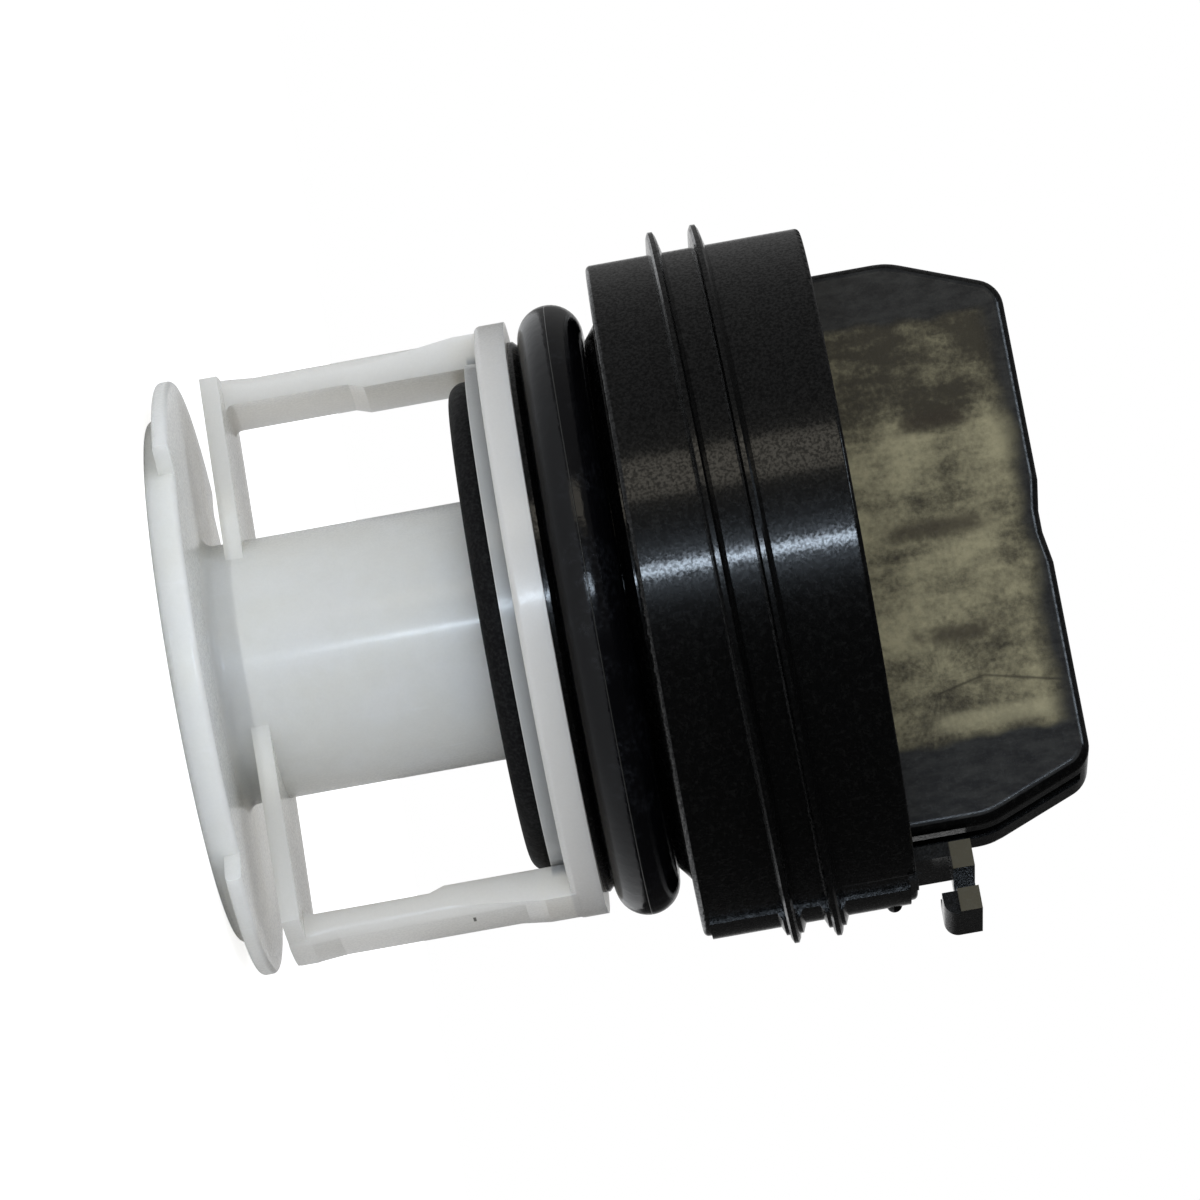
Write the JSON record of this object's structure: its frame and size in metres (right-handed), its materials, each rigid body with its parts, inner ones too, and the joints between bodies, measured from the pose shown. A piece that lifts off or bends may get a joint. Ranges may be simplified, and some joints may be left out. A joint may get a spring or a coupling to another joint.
{
  "type": "drain pump filter",
  "caption": "Screw-in drain pump filter: a sieve insert with end disc, hub and two bars, closed by a threaded cap with a seal ring, a paddle grip and a side latch.",
  "frame": {"origin": "centre of the end disc's outer face, on the axis of the filter", "axes": "+Z along the axis from the end disc to the grip; +X towards the latch, with grip and bars in the XZ plane"},
  "size_m": [0.074, 0.0724, 0.0862],
  "materials": {
    "insert_plastic": "milky white, slightly translucent, satin",
    "seal_rubber": "black, dull satin",
    "cap_plastic": "black, satin gloss, with dull flow marks on the grip"
  },
  "bodies": {
    "root": {"filter_insert": "insert_plastic", "rubber_washer": "seal_rubber", "o_ring": "seal_rubber", "screw_cap": "cap_plastic"}
  },
  "joints": []
}
